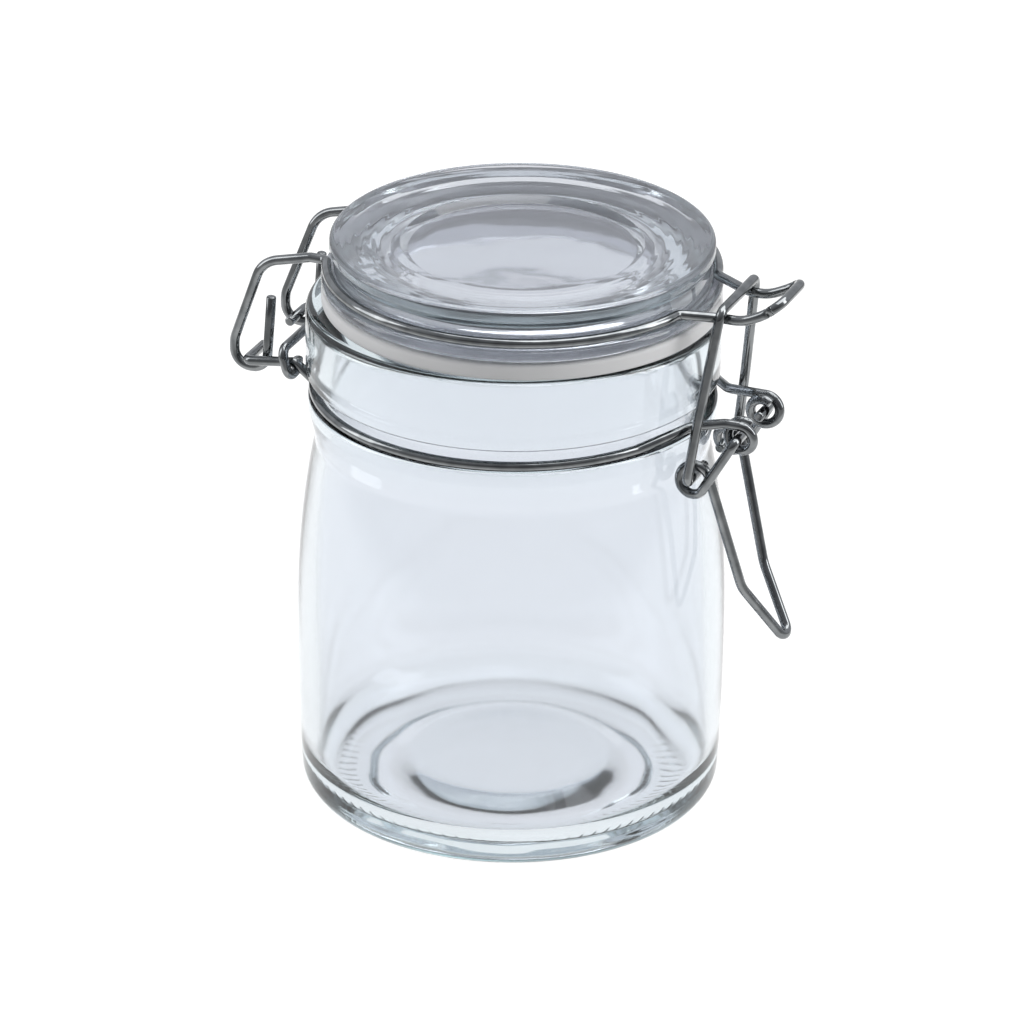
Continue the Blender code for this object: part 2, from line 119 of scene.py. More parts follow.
# Lid glass, stacked up from the rubber ring, radii from the lid's own axis, rounder than the solid
LID_SHIFT = 1.8 * MM
LID_FLANGE_Z = RIM_Z + GASKET_T + 2 * GAP
LID_FLANGE_R = GASKET_R + 0.05 * MM
LID_FLANGE_TOP_Z = LID_FLANGE_Z + 2.45 * MM
LID_FLANGE_BEND_R = 1.2 * MM
LID_RING_R = LID_FLANGE_R - 1.1 * MM
LID_RING_Z = LID_FLANGE_TOP_Z + 0.35 * MM + WIRE_R
LID_TAPER_Z = LID_FLANGE_TOP_Z + 4.15 * MM
LID_EDGE_R = LID_RING_R - 0.55 * MM
LID_EDGE_T = 2.3 * MM
LID_EDGE_BEND_R = 1.14 * MM
LID_CREST_W = 2.0 * MM
LID_CREST_BEND_R = 0.4 * MM
TOTAL_H = LID_TAPER_Z + 1.3 * MM + LID_EDGE_T
DISH_Z = TOTAL_H - 2.7 * MM
DISH_STATIONS = 9
DISH_STATION_W = 2.2 * MM
DISH_R = 22.6 * MM
DISH_BEND_R = 0.4 * MM
DISH_RIM_R = 24.2 * MM
DISH_RIM_Z = TOTAL_H - 1.5 * MM
DISH_RIM_BEND_R = 0.3 * MM
SLOPE_STATIONS = 21
SLOPE_START_R = 25.4 * MM
SLOPE_START_Z = TOTAL_H - 1.55 * MM
SLOPE_STATION_W = 0.48 * MM
SLOPE_STATION_H = 0.07 * MM
LID_T = 4.1 * MM
UNDERSIDE_Z = DISH_Z - LID_T
UNDERSIDE_BEND_R = 4.0 * MM
UNDERSIDE_STATION_W = 2.4 * MM
UNDERSIDE_STATIONS = 11
BOSS_R = MOUTH_R - 2.2 * MM
BOSS_Z = LID_FLANGE_Z - 6.2 * MM
BOSS_INNER_R = BOSS_R - 3.6 * MM
BOSS_DRAFT = 1.0 * MM
SMALL_BEND_R = 0.6 * MM

# Fineness of the turned pieces
ROUND_SEGMENTS = 256
ARC_STEP = math.radians(9)
AXIS_TOUCH = 0.001 * MM

# Unevenness of pressed glass, in layers of noise: scale, seed and height
WALL_WAVES = ((38.0, 3.1, 0.35 * MM), (95.0, 7.7, 0.10 * MM))
FLOOR_WAVES = ((26.0, 4.4, 0.78 * MM),)
FLOOR_GRAIN = ((120.0, 5.3, 0.06 * MM),)
PUSH_UP_WAVES = ((34.0, 9.4, 2.8 * MM), (110.0, 2.2, 0.7 * MM))
SLOPE_WAVES = ((90.0, 6.6, 0.10 * MM),)
DISH_WAVES = ((75.0, 2.3, 0.10 * MM), (160.0, 4.9, 0.025 * MM))
UNDERSIDE_WAVES = ((60.0, 8.3, 0.08 * MM), (140.0, 6.1, 0.02 * MM))
TURNING_PITCH = 1.9 * MM
TURNING_DEPTH = 0.030 * MM

# Where the unevenness starts and fades
WALL_WAVE_SQUEEZE = 0.25
WALL_WAVE_FULL_Z = 20.0 * MM
WALL_WAVE_FADE_Z = 66.0 * MM
WALL_WAVE_END_Z = 78.0 * MM
FLOOR_WAVE_IN_R = 30.0 * MM
FLOOR_WAVE_OUT_R = 38.0 * MM
FLOOR_WAVE_TURN = math.radians(225)
PUSH_UP_WAVE_R = 30.0 * MM
PUSH_UP_WAVE_IN_R = 16.0 * MM
PUSH_UP_WAVE_OUT_R = 26.0 * MM
PUSH_UP_END_R = 28.6 * MM
PUSH_UP_TOP_Z = 3.5 * MM
SLOPE_WAVE_IN_R = 25.0 * MM
SLOPE_WAVE_OUT_R = 35.8 * MM
SLOPE_WAVE_LOW_Z = TOTAL_H - 1.8 * MM
SLOPE_WAVE_HIGH_Z = TOTAL_H - 0.04 * MM
DISH_WAVE_IN_R = 16.0 * MM
DISH_WAVE_OUT_R = 21.0 * MM
DISH_WAVE_LOW_Z = DISH_Z - 0.4 * MM
UNDERSIDE_WAVE_IN_R = 25.0 * MM
UNDERSIDE_WAVE_OUT_R = 29.0 * MM
UNDERSIDE_WAVE_LOW_Z = UNDERSIDE_Z - 1.2 * MM

# Hinge: pins at the back of the neck wires, hooks of the lid wire round them
HINGE_X = -(NECK_RING_R + 12.0 * MM)
HINGE_Z = NECK_RING_Z + 1.6 * MM
BAR_Y = 14.7 * MM
BAR_RISE_X = -(NECK_RING_R + 1.2 * MM)
BAR_RISE_Z = NECK_RING_Z + 3.1 * MM
PIN_END_Y = 6.0 * MM
PIN_BEND_R = 1.3 * MM
HOOK_Y = BAR_Y - WIRE_PITCH
HOOK_BACK_X = HINGE_X - 3.6 * MM
HOOK_FRONT_X = HINGE_X + 3.4 * MM
HOOK_BEND_R = 3.4 * MM
ROD_END_X = HINGE_X + 4.6 * MM
ROD_END_Z = HINGE_Z + 13.75 * MM
ARM_Y = 13.5 * MM
ARM_ELBOW_Z = HINGE_Z + 3.25 * MM
ARM_ELBOW_R = 6.0 * MM
ARM_TOP_X = HINGE_X + 3.2 * MM
ARM_TOP_Z = LID_RING_Z - 2.7 * MM
ARM_TOP_R = 6.5 * MM
ARM_LEVEL_X = LID_SHIFT - LID_RING_R - 1.05 * MM
ARM_LEVEL_R = 3.0 * MM

# Wire clip across the back that ties the two neck wires
TIE_X = -(LIP_R + 1.55 * MM)
TIE_FOOT_X = -(LIP_R + 0.05 * MM)
TIE_Z = HINGE_Z + 4.65 * MM
TIE_END_Z = HINGE_Z + 1.65 * MM
TIE_LOOP_R = 2.1 * MM

# Lever
LEVER_X = NECK_RING_R + 11.3 * MM
LEVER_Z = NECK_RING_Z + 0.35 * MM
EYE_Y = 8.0 * MM
EYE_TURNS = 1.1
LEVER_EYE_R = 2.85 * MM
NECK_LEAVE_Y = 20.0 * MM
NECK_RUN_X = NECK_RING_R + 2.3 * MM
NECK_RUN_Y = 9.9 * MM
NECK_RUN_Z = NECK_RING_Z + 2.25 * MM
EYE_RUN_X = LEVER_X - 2.8 * MM
EYE_RUN_BEND_R = 4.0 * MM
LEVER_STUB_Y = 3.0 * MM
ARM_PLANE_Y = EYE_Y + WIRE_PITCH
COIL_Y = 11.6 * MM
LINK_X = LEVER_X - 8.4 * MM
LINK_Z = LEVER_Z - 8.7 * MM
LINK_SEAT = 0.5 * MM
HANDLE_BEND_X = LEVER_X + 0.8 * MM
HANDLE_BEND_Y = 6.2 * MM
HANDLE_BEND_Z = LEVER_Z - 32.9 * MM
HANDLE_BEND_R = 7.0 * MM
HANDLE_TIP_X = HANDLE_BEND_X + 7.2 * MM
HANDLE_TIP_Z = HANDLE_BEND_Z - 11.6 * MM
HANDLE_TIP_R = 2.1 * MM

# Nose of the lid wire, pulled down by the link
NOSE_ROOT_Y = 10.6 * MM
NOSE_Y = 7.2 * MM
NOSE_LOW_X = LEVER_X - 4.3 * MM
NOSE_LOW_Z = LID_RING_Z - 0.8 * MM
NOSE_RISE_X = NOSE_LOW_X + 4.2 * MM
NOSE_UP_X = NOSE_RISE_X + 4.4 * MM
NOSE_UP_Z = NOSE_LOW_Z + 2.1 * MM
NOSE_TIP_X = NOSE_UP_X + 3.1 * MM
NOSE_TIP_Y = 6.2 * MM
NOSE_TIP_Z = NOSE_UP_Z + 2.4 * MM
NOSE_SWEEP_R = 9.0 * MM
NOSE_TIP_R = 3.4 * MM

# Link, its bar lying on the nose
BAR_X = NOSE_LOW_X + 0.6 * MM
BAR_Z = NOSE_LOW_Z + 2 * WIRE_R + GAP
LINK_BAR_Y = 9.6 * MM
LINK_FOOT_Y = 14.1 * MM
LINK_BOW_Y = 12.95 * MM
LINK_BOW_AT = 0.38
LINK_BOW_R = 40.0 * MM
LINK_STUB_Y = 4.0 * MM
LINK_BAR_BEND_R = 2.2 * MM

# Knurl under the foot, fresh towards the front
KNURL_COUNT = 80
KNURL_IN_R = 31.2 * MM
KNURL_OUT_R = 36.2 * MM
KNURL_TOP_Z = 0.4 * MM
KNURL_DEPTH = 0.24 * MM
KNURL_FRESH = (11.0, -27.0, 0.0)
KNURL_WEAR_SCALE = 60.0
KNURL_WEAR_DETAIL = 2.0

# Studio: floor with a wide painted pool of light glowing on it, softboxes and a world that is brighter
# behind the jar
FLOOR_HALF = 30.0
FLOOR_DROP = -0.1 * MM
POOL_CENTRE = (-0.08, 0.19, 0.0)
POOL_INNER_R = 0.31
POOL_OUTER_R = 0.46
POOL_LIGHT = 1.0
FLOOR_LIGHT = 0.34
SOFTBOX_AIM = (0.0, 0.0, 0.06)
BACKDROP_COLOUR = (0.93, 0.95, 1.0, 1.0)
FORWARDS = (0.35, -0.86, -0.37)
BACK_END = -0.6
FRONT_END = 0.8
BACK_LIGHT = 0.75
FRONT_LIGHT = 0.16

# Camera, from a fit of the jar's ellipses and outlines in the photo
CAMERA_AZIMUTH = math.radians(22.5)
CAMERA_DISTANCE = 1.15495
CAMERA_HEIGHT = 0.60796
CAMERA_PITCH = math.radians(25.417)
CAMERA_ROLL = -0.00824
CAMERA_LENS = 223.3
CAMERA_REACH = 100.0
SENSOR = 36.0


# Paths and meshes


def point(x, y, z):
    return Vector((x + AXIS_X, y, z))


def rounded(corners, step):
    """Points of a path through (point, bend radius) corners, each bend an arc of its own radius."""
    points = [corners[0][0]]
    for before, (corner, radius), after in zip(corners, corners[1:], corners[2:]):
        arriving = (corner - before[0]).normalized()
        leaving = (after[0] - corner).normalized()
        turn = arriving.angle(leaving)
        if radius == 0.0 or turn == 0.0:
            points.append(corner)
            continue
        start = corner - arriving * radius * math.tan(turn / 2)
        inward = (leaving - arriving).normalized()
        centre = corner + inward * radius / math.cos(turn / 2)
        axis = arriving.cross(leaving)
        steps = max(2, math.ceil(turn / step))
        for i in range(steps + 1):
            points.append(centre + Quaternion(axis, turn * i / steps) @ (start - centre))
    points.append(corners[-1][0])
    return points


def ring_arc(centre_x, radius, z, rear_y, front_y):
    """Corners round the -Y side of a horizontal ring, rear to front; the end ones are bent and have room."""
    rear = math.pi + math.asin(rear_y / radius)
    front = 2 * math.pi - math.asin(front_y / radius)
    steps = math.ceil((front - rear) / RING_STEP)
    corners = []
    for i in range(steps + 1):
        angle = rear + (front - rear) * i / steps
        bend = BEND_R if i in (0, steps) else 0.0
        corners.append((point(centre_x + radius * math.cos(angle), radius * math.sin(angle), z), bend))
    return [corners[0]] + corners[3:-3] + [corners[-1]]


def coil(centre, radius, start, sweep, shift_y):
    """Plain corners of a coil about a Y axis: start angle, signed sweep, and travel along Y."""
    steps = math.ceil(abs(sweep) / COIL_STEP)
    corners = []
    for i in range(steps + 1):
        part = i / steps
        angle = start + sweep * part
        offset = Vector((radius * math.cos(angle), shift_y * part, radius * math.sin(angle)))
        corners.append((centre + offset, 0.0))
    return corners


def mirrored(corners):
    flip = Vector((1.0, -1.0, 1.0))
    return [(corner * flip, radius) for corner, radius in corners]


def bridged(corners):
    return corners + mirrored(corners)[::-1]


def linked(obj):
    bpy.context.scene.collection.objects.link(obj)
    return obj


def cut_end(tip, next_point):
    """Points and radii from a wire's cut end inwards."""
    inwards = (next_point - tip).normalized()
    spots = [tip + inwards * away * END_ROUND for away, _ in CUT_END]
    return spots, [size for _, size in CUT_END]


def wire(name, corners, mat, body, node):
    """One bent wire, smooth along its bends, its cut ends lightly rounded."""
    points = rounded(corners, BEND_STEP)
    first_spots, first_sizes = cut_end(points[0], points[1])
    last_spots, last_sizes = cut_end(points[-1], points[-2])
    radii = first_sizes + [1.0] * (len(points) - 2) + last_sizes[::-1]
    points = first_spots + points[1:-1] + last_spots[::-1]
    curve = bpy.data.curves.new(name, "CURVE")
    curve.dimensions = "3D"
    curve.fill_mode = "FULL"
    curve.bevel_depth = WIRE_R
    curve.bevel_resolution = WIRE_SIDES_LEVEL
    curve.use_fill_caps = True
    spline = curve.splines.new("POLY")
    spline.points.add(len(points) - 1)
    for place, co, size in zip(spline.points, points, radii):
        place.co = (*co, 1.0)
        place.radius = size
    spline.use_smooth = True
    curve.materials.append(mat)
    obj = linked(bpy.data.objects.new(name, curve))
    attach(obj, body)
    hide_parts(node)
    return obj


def turned_rings(points, moved):
    """Vertices of a turned outline and their numbers, ring by ring; a ring on the axis is one vertex."""
    verts = []
    rings = []
    for corner in points:
        if corner.x < AXIS_TOUCH:
            rings.append([len(verts)])
            verts.append(moved(0.0, 0.0, corner.z))
            continue
        rings.append(range(len(verts), len(verts) + ROUND_SEGMENTS))
        for i in range(ROUND_SEGMENTS):
            verts.append(moved(corner.x, 2 * math.pi * i / ROUND_SEGMENTS, corner.z))
    return verts, rings


def band_faces(upper, lower):
    """Faces between two rings, or between a ring and a vertex on the axis."""
    faces = []
    for i in range(ROUND_SEGMENTS):
        j = (i + 1) % ROUND_SEGMENTS
        if len(upper) == 1:
            faces.append((upper[0], lower[i], lower[j]))
        elif len(lower) == 1:
            faces.append((upper[i], lower[0], upper[j]))
        else:
            faces.append((upper[i], lower[i], lower[j], upper[j]))
    return faces


def revolved(name, outline, closed, axis_x, mat, body, node, moved):
    """A turned piece with fine segments; moved(radius, angle, z) gives each point's own place."""
    corners = [(Vector((radius, 0.0, z)), bend) for radius, z, bend in outline]
    points = rounded(corners, ARC_STEP)
    if closed:
        points = points[:-1]
    verts, rings = turned_rings(points, moved)
    pairs = list(zip(rings, rings[1:]))
    if closed:
        pairs.append((rings[-1], rings[0]))
    faces = [face for upper, lower in pairs for face in band_faces(upper, lower)]
    mesh = bpy.data.meshes.new(name)
    mesh.from_pydata(verts, [], faces)
    mesh.polygons.foreach_set("use_smooth", [True] * len(faces))
    mesh.materials.append(mat)
    mesh.update()
    obj = linked(bpy.data.objects.new(name, mesh))
    obj.location = (axis_x + AXIS_X, 0.0, 0.0)
    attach(obj, body)
    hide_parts(node)
    return obj


def round_place(radius, angle, z):
    return Vector((radius * math.cos(angle), radius * math.sin(angle), z))


def uneven(place, layers):
    """Height of the noise layers at a place."""
    return sum(noise.noise(place * scale + Vector((seed,) * 3)) * height for scale, seed, height in layers)


def eased(value, low, high):
    part = min(max((value - low) / (high - low), 0.0), 1.0)
    return part * part * (3 - 2 * part)


# Materials


def new_material(name):
    mat = bpy.data.materials.new(name)
    mat.use_nodes = True
    return mat, mat.node_tree.nodes, mat.node_tree.links, mat.node_tree.nodes["Principled BSDF"]


def chained(nodes, links, operation, first, second=None):
    """One math node, its inputs linked from sockets or set from numbers."""
    step = nodes.new("ShaderNodeMath")
    step.operation = operation
    for socket, value in zip(step.inputs, (first, second)):
        if value is None:
            continue
        if isinstance(value, float):
            socket.default_value = value
        else:
            links.new(value, socket)
    return step.outputs["Value"]


def cloud(nodes, links, place, scale, detail):
    """Soft noise over the piece."""
    texture = nodes.new("ShaderNodeTexNoise")
    texture.inputs["Scale"].default_value = scale
    texture.inputs["Detail"].default_value = detail
    links.new(place.outputs["Object"], texture.inputs["Vector"])
    return texture.outputs["Fac"]


def bumped(nodes, links, height, strength, distance):
    """Bump node whose normal follows a height."""
    bump = nodes.new("ShaderNodeBump")
    bump.inputs["Strength"].default_value = strength
    bump.inputs["Distance"].default_value = distance
    links.new(height, bump.inputs["Height"])
    return bump


def toned(nodes, links, level, stops):
    """Colour from a level, through (position, colour) stops."""
    tone = nodes.new("ShaderNodeValToRGB")
    for element, (position, colour) in zip(tone.color_ramp.elements, stops):
        element.position = position
        element.color = (*colour, 1.0)
    links.new(level, tone.inputs["Fac"])
    return tone.outputs["Color"]


def ranged(nodes, links, value, ends, results):
    """Map range node: a value between its two ends gives a result between two others."""
    fade = nodes.new("ShaderNodeMapRange")
    names = ("From Min", "From Max", "To Min", "To Max")
    for socket_name, number in zip(names, (*ends, *results)):
        fade.inputs[socket_name].default_value = number
    links.new(value, fade.inputs["Value"])
    return fade


def knurl_height(nodes, links, place):
    """Short radial marks pressed into the bearing ring under the foot, worn away towards the back."""

    def step(operation, first, second=None):
        return chained(nodes, links, operation, first, second)

    split = nodes.new("ShaderNodeSeparateXYZ")
    links.new(place.outputs["Object"], split.inputs["Vector"])
    x, y, z = split.outputs
    wave = step("SINE", step("MULTIPLY", step("ARCTAN2", y, x), float(KNURL_COUNT)))
    worn = cloud(nodes, links, place, KNURL_WEAR_SCALE, KNURL_WEAR_DETAIL)
    marks = step("MULTIPLY", step("MAXIMUM", wave, 0.0), worn)
    radius = step("SQRT", step("ADD", step("POWER", x, 2.0), step("POWER", y, 2.0)))
    ring = step("MULTIPLY", step("GREATER_THAN", radius, KNURL_IN_R), step("LESS_THAN", radius, KNURL_OUT_R))
    under = step("LESS_THAN", z, KNURL_TOP_Z)
    facing = nodes.new("ShaderNodeVectorMath")
    facing.operation = "DOT_PRODUCT"
    facing.inputs[1].default_value = KNURL_FRESH
    links.new(place.outputs["Object"], facing.inputs[0])
    fresh = step("MINIMUM", step("MAXIMUM", step("ADD", facing.outputs["Value"], 0.5), 0.0), 1.0)
    return step("MULTIPLY", step("MULTIPLY", step("MULTIPLY", ring, fresh), under), marks)


def glass(name, colour, tint, density, clear, ripple, knurled):
    """Glass with a faint tint at its surface and a deeper one in its thickness."""
    mat, nodes, links, shader = new_material(name)
    shader.inputs["Base Color"].default_value = (*colour, 1.0)
    shader.inputs["Roughness"].default_value = 0.06
    shader.inputs["IOR"].default_value = 1.52
    shader.inputs["Transmission Weight"].default_value = clear
    depth = nodes.new("ShaderNodeVolumeAbsorption")
    depth.inputs["Color"].default_value = (*tint, 1.0)
    depth.inputs["Density"].default_value = density
    links.new(depth.outputs["Volume"], nodes["Material Output"].inputs["Volume"])
    place = nodes.new("ShaderNodeTexCoord")
    surface = bumped(nodes, links, cloud(nodes, links, place, 90.0, 2.0), ripple, 0.4 * MM)
    if knurled:
        marks = bumped(nodes, links, knurl_height(nodes, links, place), 1.0, KNURL_DEPTH)
        links.new(surface.outputs["Normal"], marks.inputs["Normal"])
        surface = marks
    links.new(surface.outputs["Normal"], shader.inputs["Normal"])
    return mat


def steel(name):
    """Drawn steel wire with a fine mottled finish."""
    mat, nodes, links, shader = new_material(name)
    shader.inputs["Metallic"].default_value = 1.0
    place = nodes.new("ShaderNodeTexCoord")
    mottle = cloud(nodes, links, place, 350.0, 4.0)
    stops = ((0.35, (0.18, 0.19, 0.195)), (0.65, (0.26, 0.27, 0.275)))
    links.new(toned(nodes, links, mottle, stops), shader.inputs["Base Color"])
    rough = ranged(nodes, links, mottle, (0.0, 1.0), (0.08, 0.14))
    links.new(rough.outputs["Result"], shader.inputs["Roughness"])
    surface = bumped(nodes, links, mottle, 0.12, 0.05 * MM)
    links.new(surface.outputs["Normal"], shader.inputs["Normal"])
    return mat


def rubber(name):
    """Matt pale rubber."""
    mat, nodes, links, shader = new_material(name)
    shader.inputs["Roughness"].default_value = 0.70
    shader.inputs["Specular IOR Level"].default_value = 0.25
    place = nodes.new("ShaderNodeTexCoord")
    mottle = cloud(nodes, links, place, 120.0, 3.0)
    stops = ((0.0, (0.71, 0.71, 0.705)), (1.0, (0.77, 0.77, 0.77)))
    links.new(toned(nodes, links, mottle, stops), shader.inputs["Base Color"])
    return mat


body_glass = glass("body_glass", (0.85, 0.862, 0.897), (0.20, 0.58, 0.60), 13.0, 1.0, 0.03, True)
lid_glass = glass("lid_glass", (0.68, 0.69, 0.735), (0.30, 0.60, 0.62), 7.0, 0.92, 0.14, False)
steel_wire = steel("steel_wire")
gasket_rubber = rubber("gasket_rubber")


# Glass body


def wall_radius(z):
    """Outside of the body: fullest at one height, eased in to the waist above and the foot below."""
    if z > BODY_FULLEST_Z:
        part = (z - BODY_FULLEST_Z) / (WAIST_Z - BODY_FULLEST_Z)
        return BODY_R - (BODY_R - WAIST_R) * part ** SHOULDER_EASE
    part = (BODY_FULLEST_Z - z) / BODY_FULLEST_Z
    return BODY_R - (BODY_R - FOOT_R) * part ** FOOT_EASE


def inside_outline():
    """From the middle of the inside floor up the wall to the inside of the rim."""
    outline = [(0.0, FLOOR_Z, 0.0)]
    for i in range(1, FLOOR_STATIONS + 1):
        radius = FLOOR_STATION_W * i
        fall = (FLOOR_Z - FLOOR_EDGE_Z) * eased(radius, DOME_IN_R, DOME_OUT_R)
        outline.append((radius, FLOOR_Z - fall, 0.0))
    low = FLOOR_EDGE_Z + FLOOR_BEND_R
    outline.append((wall_radius(low) - WALL_T, FLOOR_EDGE_Z, FLOOR_BEND_R))
    for i in range(1, WALL_STATIONS):
        z = low + (WAIST_Z - low) * i / WALL_STATIONS
        outline.append((wall_radius(z) - WALL_T, z, 0.0))
    outline.append((MOUTH_R, NECK_INNER_Z, FLOOR_BEND_R))
    for i in range(MOUTH_STATIONS):
        outline.append((MOUTH_R, MOUTH_FIRST_Z + MOUTH_STATION_H * i, 0.0))
    outline.append((MOUTH_R, RIM_Z, RIM_INNER_BEND_R))
    return outline


def outside_outline():
    """From the rim down over the lip, the groove, the bead and the wall to the heel."""
    groove_r = NECK_RING_R - WIRE_R - GAP
    groove_z = NECK_RING_Z - WIRE_R - GAP
    outline = [
        (LIP_R, RIM_Z, RIM_OUTER_BEND_R),
        (LIP_R, LIP_BOTTOM_Z, LIP_BEND_R),
        (groove_r, LIP_BOTTOM_Z, GROOVE_BEND_R),
        (groove_r, groove_z, GROOVE_BEND_R),
        (BEAD_R, groove_z, LIP_BEND_R),
        (BEAD_R, BEAD_BOTTOM_Z, BEAD_BEND_R),
        (WAIST_R, WAIST_Z, WAIST_BEND_R),
    ]
    for i in range(1, WALL_STATIONS):
        z = WAIST_Z + (HEEL_TOP_Z - WAIST_Z) * i / WALL_STATIONS
        outline.append((wall_radius(z), z, 0.0))
    outline.append((wall_radius(0.0), 0.0, HEEL_R))
    return outline


def underneath_outline():
    """From the bearing ring in over the push-up to its middle."""
    outline = []
    for i in range(1, BEARING_STATIONS + 1):
        outline.append((BEARING_OUT_R - BEARING_STATION_W * i, 0.0, 0.0))
    outline.append((PUSH_UP_EDGE_R, 0.0, PUSH_UP_BEND_R))
    outline.append((PUSH_UP_R, PUSH_UP_Z, PUSH_UP_BEND_R))
    outline += [(radius, z, 0.0) for radius, z in PUSH_UP_DOME]
    outline.append((0.0, PUSH_UP_CENTRE_Z, 0.0))
    return outline


def jar_place(radius, angle, z):
    """Pressed glass: the inside wall, the floor and the push-up are a little uneven, the outside is true."""
    place = round_place(radius, angle, z)
    if FLOOR_EDGE_Z - 0.1 * MM < z < WALL_WAVE_END_Z and radius < wall_radius(z) - WALL_T / 2:
        upright = eased(z, FLOOR_Z, WALL_WAVE_FULL_Z)
        swell = uneven(Vector((place.x, place.y, place.z * WALL_WAVE_SQUEEZE)), WALL_WAVES)
        swell *= upright * (1 - eased(z, WALL_WAVE_FADE_Z, WALL_WAVE_END_Z))
        place = round_place(radius + swell, angle, z)
        flat = (1 - upright) * (1 - eased(radius, FLOOR_WAVE_IN_R, FLOOR_WAVE_OUT_R))
        turned = round_place(radius, FLOOR_WAVE_TURN - angle, place.z)
        place.z += flat * (uneven(turned, FLOOR_WAVES) + uneven(place, FLOOR_GRAIN))
    elif z < PUSH_UP_TOP_Z and radius < PUSH_UP_END_R:
        shift = uneven(round_place(PUSH_UP_WAVE_R, angle, 0.0), PUSH_UP_WAVES)
        shift *= eased(radius, PUSH_UP_WAVE_IN_R, PUSH_UP_WAVE_OUT_R)
        place = round_place(radius + shift, angle, z)
    return place


jar_outline = inside_outline() + outside_outline() + underneath_outline()
jar = revolved("jar_glass", jar_outline, False, 0.0, body_glass, "jar", "jar_body", jar_place)


# Glass lid


def lid_outline():
    """From the middle of the dish over the edge and down to the plug, then back under the lid."""
    waist_r = LID_RING_R - WIRE_R - GAP
    draft_r = BOSS_INNER_R - BOSS_DRAFT
    outline = [(DISH_STATION_W * i, DISH_Z, 0.0) for i in range(DISH_STATIONS + 1)]
    outline.append((DISH_R, DISH_Z, DISH_BEND_R))
    outline.append((DISH_RIM_R, DISH_RIM_Z, DISH_RIM_BEND_R))
    for i in range(1, SLOPE_STATIONS + 1):
        outline.append((SLOPE_START_R + SLOPE_STATION_W * i, SLOPE_START_Z + SLOPE_STATION_H * i, 0.0))
    outline += [
        (LID_EDGE_R - LID_CREST_W, TOTAL_H, LID_CREST_BEND_R),
        (LID_EDGE_R, TOTAL_H, LID_EDGE_BEND_R),
        (LID_EDGE_R, TOTAL_H - LID_EDGE_T, LID_EDGE_BEND_R),
        (waist_r, LID_TAPER_Z, SMALL_BEND_R),
        (waist_r, LID_FLANGE_TOP_Z, SMALL_BEND_R),
        (LID_FLANGE_R, LID_FLANGE_TOP_Z, LID_FLANGE_BEND_R),
        (LID_FLANGE_R, LID_FLANGE_Z, LID_FLANGE_BEND_R),
        (BOSS_R, LID_FLANGE_Z, 0.0),
        (BOSS_R, BOSS_Z, SMALL_BEND_R),
        (BOSS_INNER_R, BOSS_Z, SMALL_BEND_R),
        (draft_r, UNDERSIDE_Z, UNDERSIDE_BEND_R),
    ]
    for i in range(2, UNDERSIDE_STATIONS + 1):
        outline.append((draft_r - UNDERSIDE_STATION_W * i, UNDERSIDE_Z, 0.0))
    outline.append((0.0, UNDERSIDE_Z, 0.0))
    return outline


def lid_place(radius, angle, z):
    """Pressed glass: fine turning rings and waves on the slope, soft waves in the dish and underneath."""
    place = round_place(radius, angle, z)
    on_slope = SLOPE_WAVE_LOW_Z < z < SLOPE_WAVE_HIGH_Z
    if on_slope and SLOPE_WAVE_IN_R < radius < SLOPE_WAVE_OUT_R:
        rings = math.sin(radius * 2 * math.pi / TURNING_PITCH) * TURNING_DEPTH
        place.z += rings + uneven(place, SLOPE_WAVES)
    elif z > DISH_WAVE_LOW_Z and radius < DISH_WAVE_OUT_R:
        place.z += uneven(place, DISH_WAVES) * (1 - eased(radius, DISH_WAVE_IN_R, DISH_WAVE_OUT_R))
    elif z > UNDERSIDE_WAVE_LOW_Z and radius < UNDERSIDE_WAVE_OUT_R:
        fade = 1 - eased(radius, UNDERSIDE_WAVE_IN_R, UNDERSIDE_WAVE_OUT_R)
        place.z += uneven(place, UNDERSIDE_WAVES) * fade
    return place


lid = revolved("lid_glass", lid_outline(), False, LID_SHIFT, lid_glass, "lid", "glass_lid", lid_place)


# Rubber ring


def gasket_outline():
    inner_r = BOSS_R + GAP
    top_z = LID_FLANGE_Z - GAP
    bottom_z = RIM_Z + GAP
    return [
        (inner_r, top_z, 0.0),
        (GASKET_R, top_z, GASKET_BEND_R),
        (GASKET_R, bottom_z, GASKET_BEND_R),
        (inner_r, bottom_z, 0.0),
        (inner_r, top_z, 0.0),
    ]


gasket = revolved(
    "rubber_ring", gasket_outline(), True, LID_SHIFT, gasket_rubber, "lid", "gasket_ring", round_place)


# Wires


def lid_wire_half():
    """From the free end of the hinge hook, up the arm, round the lid's waist and out along the nose."""
    hook_z = HINGE_Z - LOOP_R
    path = [
        (point(ROD_END_X, -HOOK_Y, ROD_END_Z), 0.0),
        (point(HOOK_FRONT_X, -HOOK_Y, hook_z), HOOK_BEND_R),
        (point(HOOK_BACK_X, -HOOK_Y, hook_z), HOOK_BEND_R),
        (point(HOOK_BACK_X, -HOOK_Y, ARM_ELBOW_Z), ARM_ELBOW_R),
        (point(ARM_TOP_X, -ARM_Y, ARM_TOP_Z), ARM_TOP_R),
        (point(ARM_LEVEL_X, -ARM_Y, LID_RING_Z), ARM_LEVEL_R),
    ]
    path += ring_arc(LID_SHIFT, LID_RING_R, LID_RING_Z, ARM_Y, NOSE_ROOT_Y)
    path += [
        (point(NOSE_LOW_X, -NOSE_Y, NOSE_LOW_Z), NOSE_SWEEP_R),
        (point(NOSE_RISE_X, -NOSE_Y, NOSE_LOW_Z), NOSE_SWEEP_R),
        (point(NOSE_UP_X, -NOSE_Y, NOSE_UP_Z), NOSE_SWEEP_R),
        (point(NOSE_TIP_X, -NOSE_TIP_Y, NOSE_TIP_Z), NOSE_TIP_R),
    ]
    return path


